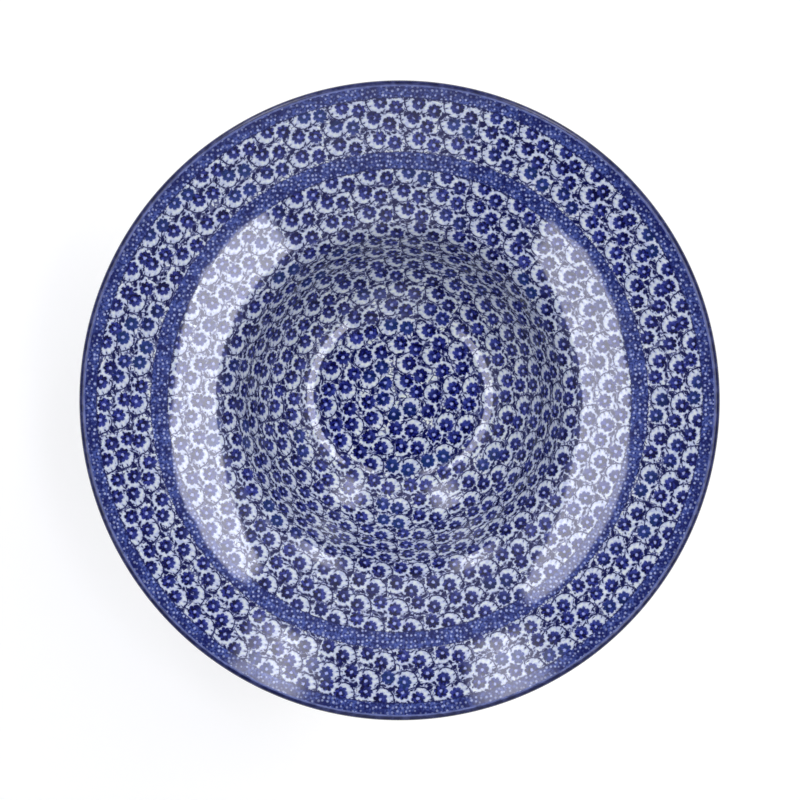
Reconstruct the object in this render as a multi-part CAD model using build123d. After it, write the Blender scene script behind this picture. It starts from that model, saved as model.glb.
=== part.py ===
from build123d import *
import math
import os

os.makedirs("parts", exist_ok=True)

# Wide-rimmed serving bowl in glazed stoneware. The stoneware shell is turned
# to an even wall, the foot ring stands under it, and each glaze or colour
# coat is its own thin ring laid on the shell, edge to edge with the next.
# +Z is up, the axis of the bowl is Z, and the foot stands on z = 0.

# ---- driving sizes, mm ----
overall_diameter = 300.0        # across the lip
overall_height = 66.0           # table to the top of the lip
wall = 4.6                      # finished wall, glaze on both sides included
glaze = 0.35                    # thickness of every glaze and colour coat
floor_top = 11.0                # height of the eating surface at the centre

# inside line of the bowl, as slopes from level and the rounds between them
floor_dish_radius = 800.0       # the floor is very slightly dished
floor_edge_slope = 2.5          # slope where the floor meets the cove
cove_radius = 40.0              # floor to wall
wall_slope = 60.0               # steep wall of the well
shoulder_radius = 18.0          # wall to rim
rim_inner_slope = 17.0          # rim just outside the shoulder
rim_round_radius = 300.0        # rim eases from the inner slope to the outer one
rim_outer_slope = 8.5           # rim out to the lip

# foot ring
foot_diameter = 100.0           # outside
foot_width = 5.5                # across the bearing ring
foot_edge_round = 1.2           # rounded edges of the bearing ring

# decoration, widths measured along the surface from the lip inwards
lip_band_top = 0.2              # cobalt line on the upper side of the lip
lip_band_under = 2.5            # and on the underside
rim_dot_width = 5.4             # dotted band next to the lip
rim_flower_width = 25.6         # three rows of stamped flowers
middle_dot_width = 7.9          # dotted band inside them


# ---- the inside line, as a path of arcs and straights ----
# Every station is (x, z, heading); heading is the slope of the surface in
# degrees. A coat at depth d below the surface follows the same path.

def walk(x, z, heading, kind, size, turn=0.0):
    """End station of a straight of length size, or an arc of radius size that
    turns by turn degrees (positive turns upwards)."""
    a = math.radians(heading)
    if kind == "line":
        return (x + size * math.cos(a), z + size * math.sin(a), heading)
    b = math.radians(heading + turn)
    s = 1.0 if turn > 0 else -1.0
    return (x + s * size * (math.sin(b) - math.sin(a)),
            z - s * size * (math.cos(b) - math.cos(a)),
            heading + turn)


# the lip is a half round of the wall thickness, so the path stops short of it
half = wall / 2
above = 3 * wall                # room for a cutter over the eating surface
a_end = math.radians(rim_outer_slope)
lip_x = overall_diameter / 2 - half
lip_z = overall_height - half
end_x = lip_x - math.sin(a_end) * half
end_z = lip_z + math.cos(a_end) * half

# the well wall and the outer rim take whatever lengths close the path
fixed = (0.0, floor_top, 0.0)
fixed = walk(*fixed, "arc", floor_dish_radius, floor_edge_slope)
fixed = walk(*fixed, "arc", cove_radius, wall_slope - floor_edge_slope)
fixed = walk(*fixed, "arc", shoulder_radius, rim_inner_slope - wall_slope)
fixed = walk(*fixed, "arc", rim_round_radius, rim_outer_slope - rim_inner_slope)
need_x, need_z = end_x - fixed[0], end_z - fixed[1]
aw = math.radians(wall_slope)
det = math.cos(aw) * math.sin(a_end) - math.sin(aw) * math.cos(a_end)
wall_length = (need_x * math.sin(a_end) - need_z * math.cos(a_end)) / det
rim_length = (math.cos(aw) * need_z - math.sin(aw) * need_x) / det

steps = [
    ("arc", floor_dish_radius, floor_edge_slope),
    ("arc", cove_radius, wall_slope - floor_edge_slope),
    ("line", wall_length, 0.0),
    ("arc", shoulder_radius, rim_inner_slope - wall_slope),
    ("arc", rim_round_radius, rim_outer_slope - rim_inner_slope),
    ("line", rim_length, 0.0),
]
path = []                       # (start length, start station, kind, size, turn, length)
here, run = (0.0, floor_top, 0.0), 0.0
for kind, size, turn in steps:
    length = size if kind == "line" else size * math.radians(abs(turn))
    path.append((run, here, kind, size, turn, length))
    here = walk(*here, kind, size, turn)
    run += length
path_length = run


def station(s):
    """Point and heading of the path at length s from the axis."""
    for start, first, kind, size, turn, length in path:
        if s <= start + length + 1e-9:
            part = max(0.0, s - start)
            if kind == "line":
                return walk(*first, "line", part)
            return walk(*first, "arc", size, turn * part / length)
    return here


def below(s, d):
    """Point at depth d under the surface, square to it."""
    x, z, h = station(s)
    return (x + d * math.sin(math.radians(h)), z - d * math.cos(math.radians(h)))


def run_edges(s0, s1, d):
    """Edges that follow the path from s0 out to s1 at depth d."""
    edges = []
    cuts = [s0] + [p[0] for p in path[1:] if s0 + 1e-6 < p[0] < s1 - 1e-6] + [s1]
    for a, b in zip(cuts, cuts[1:]):
        p, q = below(a, d), below(b, d)
        if abs(station(a)[2] - station(b)[2]) < 1e-6:
            edges.append(Line((p[0], 0, p[1]), (q[0], 0, q[1])))
        else:
            m = below((a + b) / 2, d)
            edges.append(ThreePointArc((p[0], 0, p[1]), (m[0], 0, m[1]), (q[0], 0, q[1])))
    return edges


def turned(edges):
    """Solid of revolution about Z from a closed run of edges in the XZ plane."""
    wire = Wire(edges)
    return revolve(Face(wire), axis=Axis.Z)


def straight(p, q):
    return Line((p[0], 0, p[1]), (q[0], 0, q[1]))


def ring(s0, s1, d0, d1):
    """Coat between depths d0 and d1, from station s0 out to station s1."""
    edges = run_edges(s0, s1, d0) + run_edges(s0, s1, d1)
    edges.append(straight(below(s1, d0), below(s1, d1)))
    edges.append(straight(below(s0, d0), below(s0, d1)))
    return turned(edges)


# ---- where each coat starts and stops ----
s_lip = path_length - lip_band_top
s_under = path_length - lip_band_under
s_rim_dot = s_lip - rim_dot_width
s_rim_flower = s_rim_dot - rim_flower_width
s_middle = s_rim_flower - middle_dot_width
deep = wall - glaze             # depth of the underside of the shell


def lip_point(radius, angle):
    a = math.radians(angle)
    return (lip_x + radius * math.cos(a), lip_z + radius * math.sin(a))


def lip_arc(radius):
    p, m, q = (lip_point(radius, rim_outer_slope + t) for t in (90, 0, -90))
    return ThreePointArc((p[0], 0, p[1]), (m[0], 0, m[1]), (q[0], 0, q[1]))


# ---- shell: one turned piece of stoneware with a half-round lip ----
shell_edges = run_edges(0, path_length, glaze) + run_edges(0, path_length, deep)
shell_edges.append(lip_arc(half - glaze))
shell_edges.append(straight(below(0, glaze), below(0, deep)))
stoneware_body = turned(shell_edges)

# ---- foot ring: bare stoneware, luted under the shell ----
base = (Align.CENTER, Align.CENTER, Align.MIN)
foot_outer = Cylinder(foot_diameter / 2, overall_height, align=base)
foot_inner = Cylinder(foot_diameter / 2 - foot_width, overall_height, align=base)
foot_blank = foot_outer - foot_inner
bearing_edges = foot_blank.edges().filter_by(GeomType.CIRCLE).group_by(Axis.Z)[0]
foot_blank = fillet(bearing_edges, foot_edge_round)
foot_top = station(foot_diameter / 2)[1] + wall
foot_blank = foot_blank & Cylinder(foot_diameter, foot_top, align=base)
foot_ring = foot_blank - ring(0, path_length, -above, deep)

# ---- lip: cobalt coat folded over the edge ----
lip_edges = run_edges(s_lip, path_length, 0) + run_edges(s_lip, path_length, glaze)
lip_edges += run_edges(s_under, path_length, deep) + run_edges(s_under, path_length, wall)
lip_edges += [lip_arc(half), lip_arc(half - glaze),
              straight(below(s_lip, 0), below(s_lip, glaze)),
              straight(below(s_under, deep), below(s_under, wall))]
lip_band = turned(lip_edges)

# ---- coats on the upper side, lip to centre ----
rim_dot_band = ring(s_rim_dot, s_lip, 0, glaze)
rim_flower_band = ring(s_rim_flower, s_rim_dot, 0, glaze)
middle_dot_band = ring(s_middle, s_rim_flower, 0, glaze)
well_flower_field = ring(0, s_middle, 0, glaze)

# ---- coats on the underside, either side of the foot ----
under_coat = ring(0, s_under, deep, wall)
underside_glaze = under_coat - foot_outer
foot_recess_glaze = under_coat & foot_inner

nodes = {
    "stoneware_body": stoneware_body,
    "foot_ring": foot_ring,
    "lip_band": lip_band,
    "rim_dot_band": rim_dot_band,
    "rim_flower_band": rim_flower_band,
    "middle_dot_band": middle_dot_band,
    "well_flower_field": well_flower_field,
    "underside_glaze": underside_glaze,
    "foot_recess_glaze": foot_recess_glaze,
}
for name, shape in nodes.items():
    solids = shape.solids()
    piece = solids[0] if len(solids) == 1 else Compound(children=list(solids))
    export_step(piece, "parts/" + name + ".step")
    size = piece.bounding_box()
    print(name, len(solids), "solid, volume", round(piece.volume, 1),
          "box", [round(v, 2) for v in (*size.min, *size.max)])
print("well wall", round(wall_length, 2), "outer rim", round(rim_length, 2),
      "path", round(path_length, 2))
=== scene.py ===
import math

import bmesh
import bpy
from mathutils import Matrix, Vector


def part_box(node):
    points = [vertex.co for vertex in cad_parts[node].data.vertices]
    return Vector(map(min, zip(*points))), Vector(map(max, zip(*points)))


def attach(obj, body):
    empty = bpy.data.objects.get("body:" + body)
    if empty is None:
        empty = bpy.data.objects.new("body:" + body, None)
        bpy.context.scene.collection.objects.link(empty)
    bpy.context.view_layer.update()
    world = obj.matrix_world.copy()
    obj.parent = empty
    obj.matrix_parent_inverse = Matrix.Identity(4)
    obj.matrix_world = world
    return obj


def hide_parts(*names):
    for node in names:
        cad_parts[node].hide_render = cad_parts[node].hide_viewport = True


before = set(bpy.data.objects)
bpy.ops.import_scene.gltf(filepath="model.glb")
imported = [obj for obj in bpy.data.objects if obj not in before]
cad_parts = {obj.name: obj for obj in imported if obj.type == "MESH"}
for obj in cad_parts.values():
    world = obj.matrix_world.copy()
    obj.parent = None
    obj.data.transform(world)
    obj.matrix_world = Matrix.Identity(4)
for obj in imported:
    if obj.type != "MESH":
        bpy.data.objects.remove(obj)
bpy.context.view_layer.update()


# THE SHELL. One jiggered piece of stoneware, with an even wall from the middle of the floor to the
# rounded lip. It is fired once and then coated all over, so its bare clay shows only at the foot.

class Socket:
    """A value that changes over a surface. Arithmetic on a number adds its Math node."""

    def __init__(self, finish, out):
        self.finish = finish
        self.out = out

    def calc(self, operation, *others):
        return self.finish.math(operation, self, *others)

    def __add__(self, other):
        return self.finish.math("ADD", self, other)

    def __radd__(self, other):
        return self.finish.math("ADD", other, self)

    def __sub__(self, other):
        return self.finish.math("SUBTRACT", self, other)

    def __rsub__(self, other):
        return self.finish.math("SUBTRACT", other, self)

    def __mul__(self, other):
        return self.finish.math("MULTIPLY", self, other)

    def __rmul__(self, other):
        return self.finish.math("MULTIPLY", other, self)

    def __truediv__(self, other):
        return self.finish.math("DIVIDE", self, other)

    def __rtruediv__(self, other):
        return self.finish.math("DIVIDE", other, self)

    def __pow__(self, other):
        return self.finish.math("POWER", self, other)

    def __rpow__(self, other):
        return self.finish.math("POWER", other, self)


class Finish:
    """The nodes of one fired finish, or of the light round the bowl."""

    def __init__(self, owner):
        self.owner = owner
        owner.use_nodes = True
        self.tree = owner.node_tree
        self.tree.nodes.clear()

    def add(self, kind, inputs, out=0, **settings):
        """Adds a node: its settings first, then its inputs. Gives the socket of the named output, one
        for each of several names, or nothing."""
        node = self.tree.nodes.new(kind)
        for key, value in settings.items():
            if key == "stops":
                ramp = node.color_ramp
                while len(ramp.elements) < len(value):
                    ramp.elements.new(1.0)
                for element, (position, colour) in zip(ramp.elements, value):
                    element.position = position
                    element.color = (*colour, 1.0)
            elif key == "interpolation":
                node.color_ramp.interpolation = value
            else:
                setattr(node, key, value)
        for key, value in inputs.items():
            if isinstance(value, Socket):
                self.tree.links.new(value.out, node.inputs[key])
            else:
                node.inputs[key].default_value = value
        if out is None:
            return None
        if isinstance(out, tuple):
            return [Socket(self, node.outputs[name]) for name in out]
        return Socket(self, node.outputs[out])

    def math(self, operation, *values):
        return self.add("ShaderNodeMath", dict(enumerate(values)), operation=operation)

    def vector(self, operation, *values):
        inputs = dict(enumerate(values))
        return self.add("ShaderNodeVectorMath", inputs, "Vector", operation=operation)

    def number(self, operation, *vectors):
        """A number from vectors, such as a length or a dot product."""
        inputs = dict(enumerate(vectors))
        return self.add("ShaderNodeVectorMath", inputs, "Value", operation=operation)

    def join(self, x, y, z=0.0):
        return self.add("ShaderNodeCombineXYZ", {0: x, 1: y, 2: z})

    def split(self, vector):
        return self.add("ShaderNodeSeparateXYZ", {0: vector}, ("X", "Y", "Z"))

    def split_colour(self, colour):
        return self.add("ShaderNodeSeparateColor", {0: colour}, ("Red", "Green", "Blue"))

    def place(self):
        """The point on the object, in metres."""
        return self.add("ShaderNodeTexCoord", {}, "Object")

    def noise(self, scale, detail=2.0, where=None):
        """Smooth noise from 0 to 1; scale is in lumps per metre."""
        where = where or self.place()
        inputs = {"Vector": where, "Scale": scale, "Detail": detail, "Roughness": 0.55}
        return self.add("ShaderNodeTexNoise", inputs, "Fac", noise_dimensions="3D")

    def ease(self, value, low, high, out_low=0.0, out_high=1.0):
        """value eased from low..high to out_low..out_high, held at the ends."""
        inputs = {"Value": value, "From Min": low, "From Max": high}
        inputs.update({"To Min": out_low, "To Max": out_high})
        return self.add("ShaderNodeMapRange", inputs, "Result", interpolation_type="SMOOTHSTEP")

    def mix(self, amount, a, b, blend="MIX"):
        """Colour a towards colour b; a plain colour is three numbers."""
        a = a if isinstance(a, Socket) else (*a, 1.0)
        b = b if isinstance(b, Socket) else (*b, 1.0)
        inputs = {0: amount, 6: a, 7: b}
        return self.add("ShaderNodeMix", inputs, 2, data_type="RGBA", blend_type=blend)

    def surface(self, colour, roughness, relief, step, index=1.5):
        """The fired surface. relief runs from 0 to 1, and 1 stands step metres high."""
        bump = {"Height": relief, "Distance": step, "Strength": 1.0}
        normal = self.add("ShaderNodeBump", bump, "Normal")
        inputs = {"Base Color": colour, "Roughness": roughness, "Normal": normal, "IOR": index}
        shader = self.add("ShaderNodeBsdfPrincipled", inputs, "BSDF")
        self.add("ShaderNodeOutputMaterial", {"Surface": shader}, None)
        return self.owner


def srgb(r, g, b):
    """A colour as a maker reads it off a chart, 0 to 255, in the light's own scale."""
    scaled = (r / 255, g / 255, b / 255)
    return tuple(c / 12.92 if c <= 0.04045 else ((c + 0.055) / 1.055) ** 2.4 for c in scaled)


def stoneware_colour(clay, sand, sanding):
    """Fired stoneware: warm grey-buff, with fine sand and a few iron specks."""
    iron = clay.ease(clay.noise(900.0, 1.0), 0.70, 0.76)
    body = clay.mix(clay.noise(60.0, 4.0), srgb(208, 196, 174), srgb(222, 212, 193))
    body = clay.mix(clay.ease(sand, 0.35, 0.65, 0.0, sanding), body, srgb(188, 173, 149))
    return clay.mix(iron * 0.7, body, srgb(96, 70, 52))


def shell_clay():
    """The shell's bare clay: matt, and a little rough with sand."""
    clay = Finish(bpy.data.materials.new("fired stoneware"))
    sand = clay.noise(2600.0, 3.0)
    body = stoneware_colour(clay, sand, 0.35)
    return clay.surface(body, clay.ease(sand, 0.2, 0.8, 0.72, 0.9), sand, 0.00012)


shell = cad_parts["stoneware_body"]
shell.data.materials.clear()
shell.data.materials.append(shell_clay())


# THE FOOT RING. A low ring of the same clay, luted under the shell and turned true, with its edges
# rounded by a sponge. It is wiped clean of glaze so that it doesn't stick in the kiln, and it is the
# one place where the clay shows. Its top seats on the shell's underside, so the shell's line comes first.
MM = 0.001
lip_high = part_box("lip_band")[1]
bowl_radius = max(lip_high.x, lip_high.y)
bowl_height = lip_high.z
wall = 4.6 * MM
coat = 0.35 * MM
floor_height = 11.0 * MM
floor_edge_slope = 2.5
wall_slope = 60.0
rim_inner_slope = 17.0
rim_slope = 8.5
lip_round = wall / 2

foot_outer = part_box("foot_ring")[1].x
foot_inner = foot_outer - 5.5 * MM
foot_edge = 1.2 * MM
wheel_steps = 288
crease = math.radians(32)


class Turn:
    """A length of the jigger's template: a straight, or an arc that turns by some degrees."""

    def __init__(self, radius, degrees, length=None):
        self.radius = radius
        self.turn = math.radians(degrees)
        self.length = length if radius is None else radius * abs(self.turn)

    def after(self, x, z, heading, run):
        """The place and heading after run metres of this length."""
        if self.radius is None:
            return x + run * math.cos(heading), z + run * math.sin(heading), heading
        way = math.copysign(1.0, self.turn)
        new = heading + way * run / self.radius
        return (x + way * self.radius * (math.sin(new) - math.sin(heading)),
                z - way * self.radius * (math.cos(new) - math.cos(heading)), new)


def template():
    """The inside line of the bowl, from the axis to the lip. Its two straights take what the radius
    and the height leave."""
    dish = Turn(800 * MM, floor_edge_slope)
    cove = Turn(40 * MM, wall_slope - floor_edge_slope)
    shoulder = Turn(18 * MM, rim_inner_slope - wall_slope)
    rim_round = Turn(300 * MM, rim_slope - rim_inner_slope)
    place = (0.0, floor_height, 0.0)
    for arc in (dish, cove, shoulder, rim_round):
        place = arc.after(*place, arc.length)
    steep = math.radians(wall_slope)
    level = math.radians(rim_slope)
    left_x = bowl_radius - lip_round - math.sin(level) * lip_round - place[0]
    left_z = bowl_height - lip_round + math.cos(level) * lip_round - place[1]
    det = math.cos(steep) * math.sin(level) - math.sin(steep) * math.cos(level)
    wall_run = (left_x * math.sin(level) - left_z * math.cos(level)) / det
    rim_run = (math.cos(steep) * left_z - math.sin(steep) * left_x) / det
    return [dish, cove, Turn(None, 0, wall_run), shoulder, rim_round, Turn(None, 0, rim_run)]


line = template()
line_length = sum(t.length for t in line)


def station(along):
    """x, z and heading of the inside line at a length from the axis."""
    place = (0.0, floor_height, 0.0)
    for t in line:
        if along <= t.length + 1e-9:
            return t.after(*place, max(0.0, along))
        along -= t.length
        place = t.after(*place, t.length)
    return place


def beneath(along, depth):
    """The point at a depth under the inside line, square to it."""
    x, z, heading = station(along)
    return Vector((x + depth * math.sin(heading), 0, z - depth * math.cos(heading)))


def along_where(radius, depth):
    """The length along the line at which that depth stands at a radius."""
    low = 0.0
    high = line_length
    for _ in range(40):
        middle = (low + high) / 2
        if beneath(middle, depth).x < radius:
            low = middle
        else:
            high = middle
    return (low + high) / 2


def throw(bm, name, material, node):
    """Turns a section in the XZ plane once round the wheel and makes it a piece of the bowl."""
    bmesh.ops.spin(bm, geom=bm.verts[:] + bm.edges[:], cent=(0, 0, 0), axis=(0, 0, 1),
                   angle=math.tau, steps=wheel_steps, use_merge=True)
    bmesh.ops.remove_doubles(bm, verts=bm.verts, dist=1e-7)
    bmesh.ops.dissolve_degenerate(bm, edges=bm.edges, dist=1e-8)
    bmesh.ops.recalc_face_normals(bm, faces=bm.faces)
    for face in bm.faces:
        face.smooth = True
    for edge in bm.edges:
        edge.smooth = edge.calc_face_angle(0.0) < crease
    mesh = bpy.data.meshes.new(name)
    bm.to_mesh(mesh)
    bm.free()
    mesh.materials.append(material)
    piece = bpy.data.objects.new(name, mesh)
    bpy.context.scene.collection.objects.link(piece)
    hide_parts(node)
    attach(piece, "root")


def foot_section():
    """The ring's section: a level foot, upright sides, and a top that seats on the shell."""
    bm = bmesh.new()
    seat = wall - coat
    outer_top = beneath(along_where(foot_outer, seat), seat).z
    inner_top = beneath(along_where(foot_inner, seat), seat).z
    corners = [(foot_inner, inner_top), (foot_inner, 0), (foot_outer, 0), (foot_outer, outer_top)]
    verts = [bm.verts.new((x, 0, z)) for x, z in corners]
    for a, b in zip(verts, verts[1:] + verts[:1]):
        bm.edges.new((a, b))
    bmesh.ops.bevel(bm, geom=verts[1:3], offset=foot_edge, segments=5, profile=0.5,
                    affect="VERTICES", material=-1)
    return bm


def foot_clay():
    """The clay as the turning tool leaves it: fine rings, and a shade darker where it stands."""
    clay = Finish(bpy.data.materials.new("turned foot clay"))
    place = clay.place()
    height = clay.split(place)[2]
    sand = clay.noise(2600.0, 3.0)
    tool_rings = clay.noise(1500.0, 1.0, clay.vector("MULTIPLY", place, (0.02, 0.02, 1.0)))
    body = stoneware_colour(clay, sand, 0.4)
    body = clay.mix(clay.ease(height, 0.0, foot_edge, 0.35, 0.0), body, srgb(150, 134, 112))
    roughness = clay.ease(sand, 0.2, 0.8, 0.72, 0.9)
    return clay.surface(body, roughness, tool_rings * 0.6 + sand * 0.4, 0.00016)


throw(foot_section(), "turned_foot", foot_clay(), "foot_ring")


# THE UNDERSIDE. Plain off-white glaze, poured over the outside of the shell and round the inside of
# the foot, and stopped short of the ring's face. It is faintly clouded and holds a few specks.
lip_under_run = 2.5 * MM
under_stop = line_length - lip_under_run
fine_step = 1.0 * MM
hidden_step = 5.0 * MM


def draw_side(bm, start, stop, depth, step):
    """One side of a coat's section, from start to stop along the line. Each point keeps its length
    along the line and how level the surface is there, for the finishes that follow it."""
    layers = bm.verts.layers.float_vector
    keep = layers.get("meridian") or layers.new("meridian")
    steps = max(1, math.ceil(abs(stop - start) / step))
    side = [bm.verts.new()]
    for _ in range(steps):
        side.append(bmesh.ops.extrude_vert_indiv(bm, verts=[side[-1]])["verts"][0])
    for i, vert in enumerate(side):
        along = start + (stop - start) * i / steps
        vert.co = beneath(along, depth)
        vert[keep] = (along, math.cos(station(along)[2]), 0)
    return side


def coat_section(start, stop, face_depth, back_depth):
    """A coat's closed section: the face that shows, the back on the clay, and its two edges. start
    and stop each hold a length for the face and one for the back."""
    bm = bmesh.new()
    face = draw_side(bm, start[0], stop[0], face_depth, fine_step)
    back = draw_side(bm, start[1], stop[1], back_depth, hidden_step)
    bm.edges.new((face[0], back[0]))
    bm.edges.new((face[-1], back[-1]))
    return bm


def plain_glaze(name):
    """Off-white gloss glaze, faintly clouded, with a slow ripple and a few grey specks."""
    glaze = Finish(bpy.data.materials.new(name))
    cloud = glaze.noise(45.0, 3.0)
    speck = glaze.ease(glaze.noise(700.0, 1.0), 0.72, 0.77)
    ripple = glaze.noise(35.0, 1.0) * 0.9 + glaze.noise(480.0, 1.0) * 0.1
    body = glaze.mix(cloud, srgb(212, 215, 211), srgb(226, 228, 223))
    body = glaze.mix(speck * 0.45, body, srgb(120, 118, 122))
    return glaze.surface(body, glaze.ease(cloud, 0.3, 0.7, 0.09, 0.14), ripple, 0.0003)


def under_edge(radius):
    """Where the glaze's face and its back stand at a radius, on the underside."""
    return along_where(radius, wall), along_where(radius, wall - coat)


outside = coat_section(under_edge(foot_outer), (under_stop, under_stop), wall, wall - coat)
throw(outside, "outside_glaze", plain_glaze("outside glaze"), "underside_glaze")
recess = coat_section((0.0, 0.0), under_edge(foot_inner), wall, wall - coat)
throw(recess, "recess_glaze", plain_glaze("recess glaze"), "foot_recess_glaze")


# THE LIP. A near-black cobalt line, banded on with a full brush while the bowl turns, and folded over
# the rounded edge. Its crest is painted lighter and greyer as a highlight, and it is paler along its
# inner edge near the top.
lip_top_run = 0.2 * MM
lip_start = line_length - lip_top_run
lip_centre = (bowl_radius - lip_round, 0, bowl_height - lip_round)


def lip_section():
    """The lip's coat: a little of the upper side, the half round, and a little of the underside."""
    bm = bmesh.new()
    upper = draw_side(bm, lip_start, line_length, 0, fine_step)
    upper_back = draw_side(bm, lip_start, line_length, coat, fine_step)
    lower = draw_side(bm, under_stop, line_length, wall, fine_step)
    lower_back = draw_side(bm, under_stop, line_length, wall - coat, fine_step)
    for vert in (upper[-1], upper_back[-1]):
        bmesh.ops.spin(bm, geom=[vert], cent=lip_centre, axis=(0, 1, 0), angle=math.pi, steps=20)
    bmesh.ops.remove_doubles(bm, verts=bm.verts, dist=1e-6)
    bm.edges.new((upper[0], upper_back[0]))
    bm.edges.new((lower[0], lower_back[0]))
    return bm


def cobalt_lip():
    """Banded cobalt: blue-black, streaked round the rim, with a painted highlight, lighter and greyer,
    along the crest.
    """
    lip = Finish(bpy.data.materials.new("cobalt lip line"))
    place = lip.place()
    height = lip.split(place)[2]
    radius = lip.number("LENGTH", lip.vector("MULTIPLY", place, (1.0, 1.0, 0.0)))
    streak = lip.noise(260.0, 3.0)
    body = lip.mix(lip.ease(streak, 0.3, 0.7), srgb(19, 23, 64), srgb(36, 43, 96))
    # Painted highlight: the crest of the round lip is painted lighter and greyer, broken up by the
    # streaks.
    crest_highlight = lip.ease(height, bowl_height - 1.6 * MM, bowl_height - 0.2 * MM)
    crest_highlight = crest_highlight * lip.ease(streak, 0.45, 0.75)
    body = lip.mix(crest_highlight * 0.3, body, srgb(92, 96, 128))
    # A thin pale line is painted along the lip's inner edge, near the top, broken up by the streaks.
    pale_inner_edge = lip.ease(radius, bowl_radius - 1.95 * MM, bowl_radius - 2.2 * MM)
    pale_inner_edge = pale_inner_edge * lip.ease(height, bowl_height - 2.0 * MM, bowl_height - 1.5 * MM)
    body = lip.mix(pale_inner_edge * lip.ease(streak, 0.3, 0.6, 0.45, 0.95), body, srgb(108, 118, 168))
    return lip.surface(body, lip.ease(streak, 0.3, 0.7, 0.10, 0.16), streak, 0.00008)


throw(lip_section(), "lip_line", cobalt_lip(), "lip_band")


# THE DOTTED BANDS. Two bands of mid-blue slip, one just inside the lip and one where the rim turns
# down to the well. Small dots are left white in them, and the slip dries darker at its edges.
rim_dots = (lip_start - 5.4 * MM, lip_start)
rim_flowers = (rim_dots[0] - 25.6 * MM, rim_dots[0])
middle_dots = (rim_flowers[0] - 7.9 * MM, rim_flowers[0])
glass_index = 1.6
glaze_step = 0.3 * MM


def meridian(f):
    """The length along the inside line, and how level the surface is there."""
    kept = f.add("ShaderNodeAttribute", {}, "Vector", attribute_name="meridian")
    along, level, _ = f.split(kept)
    return along, level


def clear_glaze(f, body, tone):
    """The thick clear glaze over a coloured body: slow waves, and a trace of orange peel."""
    relief = f.noise(42.0, 1.0) * 0.40 + f.noise(230.0, 1.0) * 0.012
    return f.surface(body, f.ease(tone, 0.3, 0.7, 0.02, 0.05), relief, glaze_step, glass_index)


def dotted_slip(name, band, wet_edge):
    """Blue slip with white dots, streaky in the wash. wet_edge is how wide its outer edge is darker."""
    f = Finish(bpy.data.materials.new(name))
    along = meridian(f)[0]
    wash = f.noise(150.0, 3.0)
    grain = f.noise(900.0, 2.0)
    body = f.mix(f.ease(wash, 0.35, 0.62), srgb(32, 40, 105), srgb(67, 83, 152))
    body = f.mix(f.ease(grain, 0.46, 0.60, 0.0, 0.85), body, srgb(17, 22, 78))
    body = f.mix(f.ease(grain, 0.42, 0.30, 0.0, 0.5), body, srgb(102, 118, 178))
    flat = f.vector("MULTIPLY", f.place(), (1.0, 1.0, 0.0))
    cells = {"Vector": flat, "Scale": 430.0, "Randomness": 0.7}
    away, cell = f.add("ShaderNodeTexVoronoi", cells, ("Distance", "Color"), voronoi_dimensions="2D")
    red, green, _ = f.split_colour(cell)
    dot = f.ease(red * 0.10 + 0.15 - away, -0.10, 0.08) * f.ease(green, 0.0, 0.5, 0.35, 0.85)
    body = f.mix(dot, body, srgb(172, 183, 218))
    ragged = f.noise(700.0, 2.0) * 0.0018 - 0.0007
    inner_edge = f.ease(along - band[0] - ragged, 0.0003, -0.0002)
    body = f.mix(inner_edge * 0.85, body, srgb(20, 24, 74))
    if wet_edge:
        wet = f.ease(along, band[1] - wet_edge, band[1] - wet_edge * 0.4)
        wet = wet * f.ease(along, band[1], band[1] - wet_edge * 0.15)
        body = f.mix(wet * f.ease(wash, 0.3, 0.65, 0.65, 0.25), body, srgb(18, 24, 82))
    return clear_glaze(f, body, grain)


def upper_coat(name, band, material, node):
    """A coat on the eating side, from one end of its band to the other."""
    section = coat_section((band[0], band[0]), (band[1], band[1]), 0, coat)
    throw(section, name, material, node)


rim_slip = dotted_slip("rim dot slip", rim_dots, 3.2 * MM)
middle_slip = dotted_slip("middle dot slip", middle_dots, 0)
upper_coat("rim_dots", rim_dots, rim_slip, "rim_dot_band")
upper_coat("middle_dots", middle_dots, middle_slip, "middle_dot_band")


# THE FLOWER BANDS. Cobalt printed with a cut sponge under clear glaze, in rings from the rim to the
# middle of the floor: two eight-petalled flowers, a curved stem that cups them, leaves and ticks. A
# print is set out in stamp units, with x round the bowl and y outward along its line.
stamp_unit = 0.46875 * MM
stray_round = 0.7 * MM
stray_outward = 1.1 * MM
print_reach = 8.5 * stamp_unit
print_pitch = 18.05 * MM
ring_pitch = 9.1 * MM
well_ring_count = 14
most_prints = 64
well_flowers = (0.0, middle_dots[0])


def stroke(a, b, width):
    """A touch of the sponge from a to b: its centre, half its length and width, and its angle."""
    dx = b[0] - a[0]
    dy = b[1] - a[1]
    centre = ((a[0] + b[0]) / 2, (a[1] + b[1]) / 2)
    half_length = math.hypot(dx, dy) / 2 + width * 0.35
    half_width = width * 0.575
    return centre, half_length, half_width, math.atan2(dy, dx)


leaves_and_ticks = [
    stroke((-3.8, -7.6), (-1.8, -11.0), 1.6),
    stroke((-10.5, -8.3), (-3.0, -11.5), 1.3),
    stroke((14.3, -0.5), (15.3, 3.2), 1.5),
    stroke((11.0, 6.5), (15.2, 2.8), 3.2),
    stroke((8.8, -9.0), (14.2, -12.3), 3.6),
    stroke((-17.0, 4.7), (-12.2, 4.7), 2.3),
    stroke((-10.6, 2.6), (-7.9, 4.7), 2.4),
    stroke((-22.6, 3.3), (-19.4, 3.5), 1.4),
    stroke((11.2, 1.6), (13.6, 0.9), 1.2),
    stroke((9.4, 4.0), (10.6, 2.8), 1.4),
    stroke((9.8, -3.3), (11.9, -4.3), 1.3),
    stroke((12.3, -8.2), (14.8, -9.4), 1.1),
    stroke((-23.2, -2.4), (-21.4, -3.4), 1.6),
    stroke((1.0, -14.4), (5.0, -13.6), 2.4),
    stroke((4.2, 10.2), (7.8, 8.8), 2.0),
    stroke((-4.6, 8.4), (-2.2, 10.6), 1.8),
    stroke((7.2, -14.6), (10.4, -15.6), 1.8),
]


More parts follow.
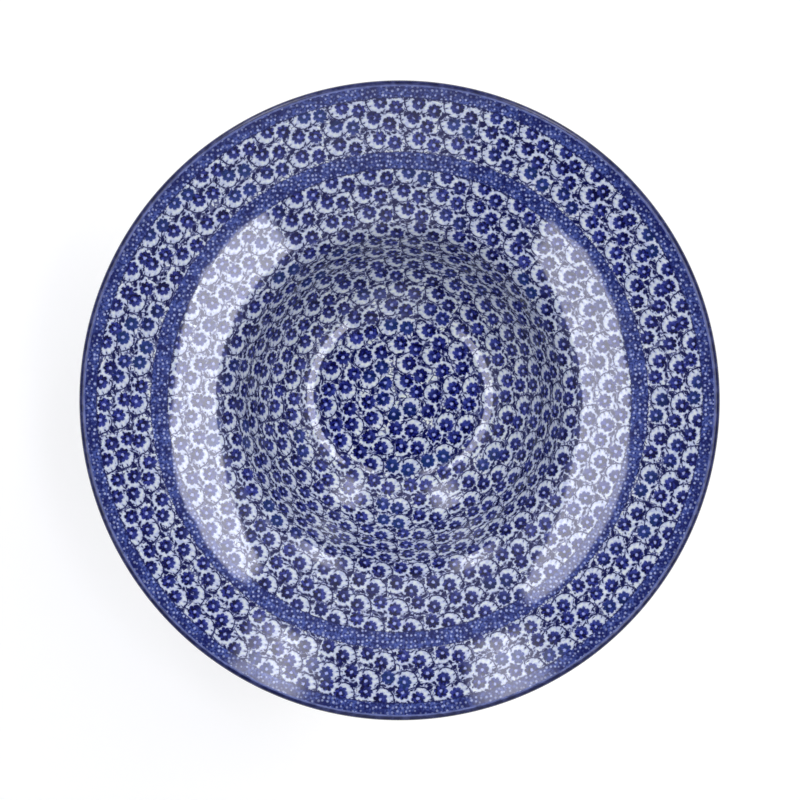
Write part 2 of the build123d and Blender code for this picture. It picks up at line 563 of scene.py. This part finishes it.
def leaf(f, point, centre, half_length, half_width, angle):
    """One leaf-shaped touch of the sponge: above 0 inside."""
    inputs = {"Vector": point, "Location": (*centre, 0), "Rotation": (0, 0, angle)}
    inputs["Scale"] = (half_length, half_width, 1)
    local = f.add("ShaderNodeMapping", inputs, "Vector", vector_type="TEXTURE")
    return f.math("MULTIPLY_ADD", f.number("LENGTH", local), -half_width, half_width)


def flower(f, point, size, turn):
    """Eight petals round an eye: above 0 inside the petals, how far the eye is, and how far down and
    to the right a point lies."""
    x, y, _ = f.split(point)
    reach = f.number("LENGTH", point)
    lobes = (y.calc("ARCTAN2", x) * 4.0 + turn).calc("COSINE").calc("ABSOLUTE") ** 0.6
    return lobes * 1.9 + size - reach, reach, x - y


def print_point(f, ring, here, wobble, seed):
    """A point in the stamp units of the print that it falls in, and that print's three chances. ring
    is the ring's length along the line, its number of prints and its start; here is the point's angle
    and radius, its length along the line, and how level the surface is."""
    ring_along, number, start = ring
    angle, radius, along, level = here
    turns = angle * (1 / math.tau) * number + start
    which = turns.calc("FLOOR")
    key = f.join(which.calc("FLOORED_MODULO", number), ring_along * 1000.0, seed)
    drawn = f.add("ShaderNodeTexWhiteNoise", {"Vector": key}, "Color", noise_dimensions="3D")
    red, green, blue = f.split_colour(drawn)
    away = (turns - which - 0.6) * math.tau / number
    x = radius * away.calc("SINE") + (red - 0.5) * stray_round
    sag = radius * level * (1.0 - away.calc("COSINE"))
    y = along - ring_along - sag + (green - 0.5) * stray_outward
    point = f.join(x / stamp_unit, y / stamp_unit)
    turned = {"Vector": point, "Angle": (blue - 0.5) * 0.2}
    point = f.add("ShaderNodeVectorRotate", turned, rotation_type="Z_AXIS")
    return f.vector("ADD", point, wobble), (red, green, blue)


def stamp(f, ring, here, wobble, seed):
    """The print of one ring at each point: how much petal, eye, line and bleed of ink there is, and
    how much of it is kept clear of loose ink."""
    point, (red, green, blue) = print_point(f, ring, here, wobble, seed)
    press = f.ease(ring[0], 62.0 * MM, 46.0 * MM, 0.0, 0.4)
    petals_1, eye_1, slope_1 = flower(f, point, press + 5.5, blue * 3.0)
    other = f.vector("ADD", point, f.join(green * 1.6 + 14.2, 7.6 - red * 2.0))
    petals_2, eye_2, slope_2 = flower(f, other, press + 5.6, red * 3.0)
    first = f.ease(petals_1 - petals_2, -0.3, 0.3)
    petals = petals_1.calc("MAXIMUM", petals_2)
    from_cup = f.vector("SUBTRACT", point, (2.2, 0.0, 0.0))
    cup = f.number("LENGTH", from_cup) - 11.4
    low_side = f.number("DOT_PRODUCT", from_cup, (0.643, -0.766, 0.0))
    lines = (0.72 - cup.calc("ABSOLUTE")).calc("MINIMUM", (low_side - 5.4) * 0.5)
    for mark in leaves_and_ticks:
        lines = lines.calc("MAXIMUM", leaf(f, point, *mark))
    outward = f.split(point)[1]
    clear_1 = f.ease(cup, 0.3, -0.7) * f.ease(outward, 6.0, 3.0)
    clear_2 = f.ease(eye_2, 10.6, 9.4) * f.ease(outward, -13.0, -10.5)
    return {
        "petals": f.ease(petals, -0.35, 0.8),
        "eye": f.ease(eye_1.calc("MINIMUM", eye_2), 2.1, 0.9),
        "slope": slope_2 + (slope_1 - slope_2) * first,
        "lines": f.ease(lines, -0.35, 0.5),
        "bleed": f.ease(petals.calc("MAXIMUM", lines), -1.8, -0.1),
        "clear": clear_1.calc("MAXIMUM", clear_2),
        "chances": (red, blue),
    }


def ring_here(f, along, band, rings, seed, outward):
    """The ring of prints at each point, or with outward 1 the next one out, whose stems hang over it.
    A colour ramp in flat steps holds each ring's place, its number of prints and its start."""
    span = band[1] - band[0] + 20.0 * MM

    def held(i):
        if i < 0:
            return (rings[0][0] + 18.0 * MM - band[0]) / span, rings[0][1] / most_prints, 0.35
        start = (i * i * 0.618 + seed * 0.37) % 1.0
        return (rings[i][0] - band[0]) / span, rings[i][1] / most_prints, start

    stops = [(0.0, held(len(rings) - 1 - outward))]
    for i in range(len(rings) - 1, 0, -1):
        edge = (rings[i][0] + print_reach - band[0]) / span
        stops.append((edge, held(i - 1 - outward)))
    share = {0: (along - band[0]) / span}
    ramp = f.add("ShaderNodeValToRGB", share, "Color", interpolation="CONSTANT", stops=stops)
    place, number, start = f.split_colour(ramp)
    return place * span + band[0], (number * most_prints).calc("ROUND"), start


def petal_ink(f, marks, pool):
    """The ink inside the petals: uneven from print to print, pooled, thinner to the lower right, now
    and then greener, and a light eye."""
    shade = f.mix(marks["chances"][0], srgb(21, 25, 96), srgb(42, 50, 134))
    shade = f.mix(f.ease(pool, 0.40, 0.57), shade, srgb(6, 8, 58))
    shade = f.mix(f.ease(marks["slope"], 0.0, 9.0, 0.0, 0.45), shade, srgb(70, 81, 160))
    shade = f.mix(f.ease(pool, 0.44, 0.30, 0.0, 0.5), shade, srgb(66, 76, 156))
    shade = f.mix(f.ease(marks["chances"][1], 0.8, 1.0, 0.0, 0.35), shade, srgb(42, 74, 130))
    return f.mix(marks["eye"] * 0.88, shade, srgb(168, 178, 228))


def loose_ink(f, place):
    """Veins and blots of ink that the sponge leaves between the prints."""
    cells = {"Vector": place, "Scale": 430.0, "Randomness": 1.0}
    veins = f.add("ShaderNodeTexVoronoi", cells, "Distance", feature="DISTANCE_TO_EDGE")
    veins = f.ease(veins, 0.16, 0.08) * f.ease(f.noise(420.0, 1.0), 0.36, 0.46)
    return veins.calc("MAXIMUM", f.ease(f.noise(640.0, 1.0), 0.60, 0.65))


def stamped_flowers(name, band, rings, seed):
    """The stamped finish. rings holds each ring's length along the line and its number of prints."""
    f = Finish(bpy.data.materials.new(name))
    along, level = meridian(f)
    place = f.place()
    x, y, _ = f.split(place)
    here = (y.calc("ARCTAN2", x), (x * x + y * y).calc("SQRT"), along, level)
    shake = {"Vector": place, "Scale": 900.0, "Detail": 2.0}
    wobble = f.add("ShaderNodeTexNoise", shake, "Color", noise_dimensions="3D")
    wobble = f.vector("MULTIPLY_ADD", wobble, (2.6, 2.6, 0.0), (-1.3, -1.3, 0.0))
    own = stamp(f, ring_here(f, along, band, rings, seed, 0), here, wobble, seed)
    outer = stamp(f, ring_here(f, along, band, rings, seed, 1), here, wobble, seed)

    pool = f.noise(620.0, 2.0)
    body = f.mix(f.ease(f.noise(120.0, 2.0), 0.3, 0.7), srgb(210, 217, 205), srgb(226, 231, 217))
    thick = f.ease(along, 45.0 * MM, 80.0 * MM, 0.0, 0.3)
    body = f.mix(thick, body, srgb(206, 214, 228))
    bleed = own["bleed"].calc("MAXIMUM", outer["bleed"]) * 0.5
    bleed = bleed.calc("MAXIMUM", f.ease(pool, 0.51, 0.66, 0.0, 0.55))
    body = f.mix(bleed, body, srgb(134, 146, 210))
    loose = loose_ink(f, place) * (1.0 - own["clear"]) * (1.0 - outer["clear"])
    body = f.mix(loose * 0.85, body, srgb(34, 40, 108))
    for marks in (outer, own):
        body = f.mix(marks["petals"], body, petal_ink(f, marks, pool))
    lines = own["lines"].calc("MAXIMUM", outer["lines"])
    body = f.mix(lines * f.ease(pool, 0.3, 0.45, 0.8, 1.0), body, srgb(13, 16, 72))

    ragged = f.noise(800.0, 2.0) * 0.0030 - 0.0012
    fringe = f.ease(band[1] - along - ragged, 0.0003, -0.0003)
    if band[0] > 0:
        fringe = fringe.calc("MAXIMUM", f.ease(along - band[0] - ragged, 0.0003, -0.0003))
    body = f.mix(fringe * 0.9, body, srgb(20, 24, 78))
    return clear_glaze(f, body, pool)


# The rim takes three rings of prints, and each ring of the well as many as its length holds.
rim_rings = []
for radius, prints in ((140.1, 48), (132.4, 45), (123.2, 42)):
    rim_rings.append((along_where(radius * MM, 0), prints))
well_rings = []
for i in range(well_ring_count):
    ring_along = along_where(105.9 * MM, 0) - ring_pitch * i
    prints = round(math.tau * station(ring_along)[0] / print_pitch)
    well_rings.append((ring_along + 1.55 * MM, max(3, prints)))

rim_stamps = stamped_flowers("stamped rim", rim_flowers, rim_rings, 3.0)
well_stamps = stamped_flowers("stamped well", well_flowers, well_rings, 7.0)
upper_coat("rim_flowers", rim_flowers, rim_stamps, "rim_flower_band")
upper_coat("well_flowers", well_flowers, well_stamps, "well_flower_field")


# THE TABLE. A plain white sweep, open under the foot. It looks white to the camera but for the bowl's
# shadow, which shows most to the lower left, and from below it is clear, so that the underside shows.
sweep_bm = bmesh.new()
bmesh.ops.create_circle(sweep_bm, cap_ends=False, segments=96, radius=foot_outer - foot_edge)
bmesh.ops.translate(sweep_bm, verts=sweep_bm.verts, vec=(0, 0, -0.02 * MM))
grown = bmesh.ops.extrude_edge_only(sweep_bm, edges=sweep_bm.edges[:])["geom"]
far_verts = [item for item in grown if isinstance(item, bmesh.types.BMVert)]
bmesh.ops.scale(sweep_bm, verts=far_verts, vec=(120, 120, 1))
sweep_bm.normal_update()
bmesh.ops.reverse_faces(sweep_bm, faces=[face for face in sweep_bm.faces if face.normal.z < 0])
sweep_mesh = bpy.data.meshes.new("sweep")
sweep_bm.to_mesh(sweep_mesh)
sweep_bm.free()
sweep = bpy.data.objects.new("sweep", sweep_mesh)
bpy.context.scene.collection.objects.link(sweep)


def sweep_paper():
    """White paper that keeps the bowl's shadow, mostly white to the camera and to reflections."""
    paper = Finish(bpy.data.materials.new("white sweep"))
    diffuse = paper.add("ShaderNodeBsdfDiffuse", {"Color": (0.92, 0.92, 0.92, 1)})
    glow = paper.add("ShaderNodeEmission", {"Color": (1, 1, 1, 1), "Strength": 1.07})
    to_camera, to_gloss = paper.add("ShaderNodeLightPath", {}, ("Is Camera Ray", "Is Glossy Ray"))
    seen = to_camera.calc("MAXIMUM", to_gloss)
    way_out = paper.vector("NORMALIZE", paper.place())
    shadow_side = paper.number("DOT_PRODUCT", way_out, (-0.93, -0.37, 0.0))
    share = seen * paper.ease(shadow_side, 0.35, 0.85, 0.97, 0.66)
    top = paper.add("ShaderNodeMixShader", {0: share, 1: diffuse, 2: glow})
    from_below = paper.add("ShaderNodeNewGeometry", {}, "Backfacing") * seen
    clear = paper.add("ShaderNodeBsdfTransparent", {})
    both = paper.add("ShaderNodeMixShader", {0: from_below, 1: top, 2: clear})
    paper.add("ShaderNodeOutputMaterial", {"Surface": both}, None)
    return paper.owner


sweep_mesh.materials.append(sweep_paper())


# THE LIGHT. A pale room, drawn on the world by direction, with a curved softbox on each side, a strip
# light on each side of the back, a dark doorway at the lower left and some light from below. The walls
# are ramps that pair an angle from straight overhead with the light there.
side_walls = [(0, 0.0), (9, 0.02), (14, 0.18), (20, 0.22), (30, 0.9), (33, 1.15), (36, 0.9),
              (42, 0.55), (48, 0.36), (60, 0.24), (66, 0.14), (72, 0.12), (90, 0.16)]
back_wall = [(0, 0.0), (8, 0.04), (14, 0.3), (20, 0.5), (24, 0.72), (39, 0.78), (45, 0.62),
             (51, 0.34), (55, 0.2), (62, 0.1), (90, 0.12)]
front_wall = [(0, 0.0), (8, 0.04), (12, 0.4), (17, 0.85), (23, 0.38), (27, 0.34), (33, 0.62),
              (46, 0.86), (53, 0.86), (60, 0.56), (66, 0.2), (90, 0.14)]


def wall_light(room, overhead, levels):
    """The light of one wall, from its ramp. A ramp holds no more than 1, so the light is halved in it."""
    stops = [(angle / 90, (light / 2, light / 2, light / 2)) for angle, light in levels]
    return room.add("ShaderNodeValToRGB", {0: overhead / 90}, "Color", stops=stops) * 2.0


def softbox(room, plan, middle, near_edge, far_edge, tapers, light):
    """A curved softbox beside the camera: its middle's direction, its near and far edges, and how much
    the far edge draws in towards the front and the back end."""
    plan_x, plan_y = plan
    across = plan_x.calc("ABSOLUTE")
    flat = room.join(plan_x, plan_y)
    reach = room.number("LENGTH", flat)
    beside = room.number("DOT_PRODUCT", flat, (math.cos(middle), math.sin(middle), 0.0)) / reach
    near = (across ** 1.5 + plan_y.calc("ABSOLUTE") ** 1.5) ** (1 / 1.5)
    box = room.ease(beside, 0.59, 0.63) * room.ease(near, near_edge - 0.008, near_edge + 0.008)
    far = (1.0 - (1.0 - across / reach) * room.ease(plan_y, -0.1, 0.1, *tapers)) * far_edge
    return box * room.ease(far - reach, -0.008, 0.008) * light


world = bpy.data.worlds.new("pale room")
bpy.context.scene.world = world
room = Finish(world)
east, north, height = room.split(room.add("ShaderNodeTexCoord", {}, "Generated"))
up = height.calc("MAXIMUM", 0.02)
overhead = up.calc("ARCCOSINE") * (180 / math.pi)
level = (east * east + north * north + 0.000001).calc("SQRT")
aside = east.calc("ABSOLUTE") / level

back_light = wall_light(room, overhead, back_wall)
front_light = wall_light(room, overhead, front_wall)
end_light = back_light + (front_light - back_light) * room.ease(north, 0.0, -0.02)
side_light = wall_light(room, overhead, side_walls) * room.ease(aside, 0.45, 0.8, 0.12, 1.0)
doorway = room.ease((east * 0.60 + north * 0.80) / level, -0.88, -0.96)
dome = (side_light + end_light * (north / level) ** 6.0) * (1.0 - doorway * 0.75)

plan = (east / up, north / up + 0.06)
right_box = softbox(room, plan, math.radians(-0.4), 0.424, 0.618, (0.1, 0.58), 5.8)
left_box = softbox(room, plan, math.radians(174.5), 0.412, 0.635, (0.5, 0.6), 4.6)

turned = aside - room.ease(east, -0.01, 0.01, 0.0, 0.05)
strips = room.ease(turned, 0.24, 0.41) * room.ease(turned, 0.63, 0.46) * room.ease(north, 0.0, 0.05)
strips = strips * room.ease(overhead, 7.0, 8.5) * room.ease(overhead, 74.0, 71.0)
strips = strips * (room.ease(overhead, 16.5, 14.0, 0.15, 4.8) + room.ease(overhead, 27.0, 38.0, 0.0, 4.4))
below = room.ease(height, -0.05, -0.15, 0.0, 0.75)

lit = dome + right_box + left_box + strips + below
tinted = room.mix(1.0, lit, (0.98, 0.99, 1.10), "MULTIPLY")
light = room.add("ShaderNodeBackground", {"Color": tinted, "Strength": 1.0})
white = room.add("ShaderNodeBackground", {"Color": (1, 1, 1, 1), "Strength": 1.0})
to_camera = room.add("ShaderNodeLightPath", {}, "Is Camera Ray")
seen_world = room.add("ShaderNodeMixShader", {0: to_camera, 1: light, 2: white})
room.add("ShaderNodeOutputWorld", {"Surface": seen_world}, None)
world.cycles.sampling_method = "MANUAL"
world.cycles.sample_map_resolution = 1024


# THE CAMERA. A long lens almost straight above the bowl, a little behind its middle, tilted so that
# it looks at the middle of the rim.
camera_back = 0.072
camera_above_rim = 1.934
camera = bpy.data.cameras.new("overhead")
camera.sensor_width = 36
camera.lens = 186.2
camera.shift_x = 0.00055
camera.shift_y = 0.00178
viewer = bpy.data.objects.new("overhead", camera)
viewer.location = (0, camera_back, bowl_height + camera_above_rim)
viewer.rotation_euler = (-math.atan2(camera_back, camera_above_rim), 0, 0)
bpy.context.scene.collection.objects.link(viewer)
bpy.context.scene.camera = viewer
bpy.context.scene.view_settings.view_transform = "Standard"
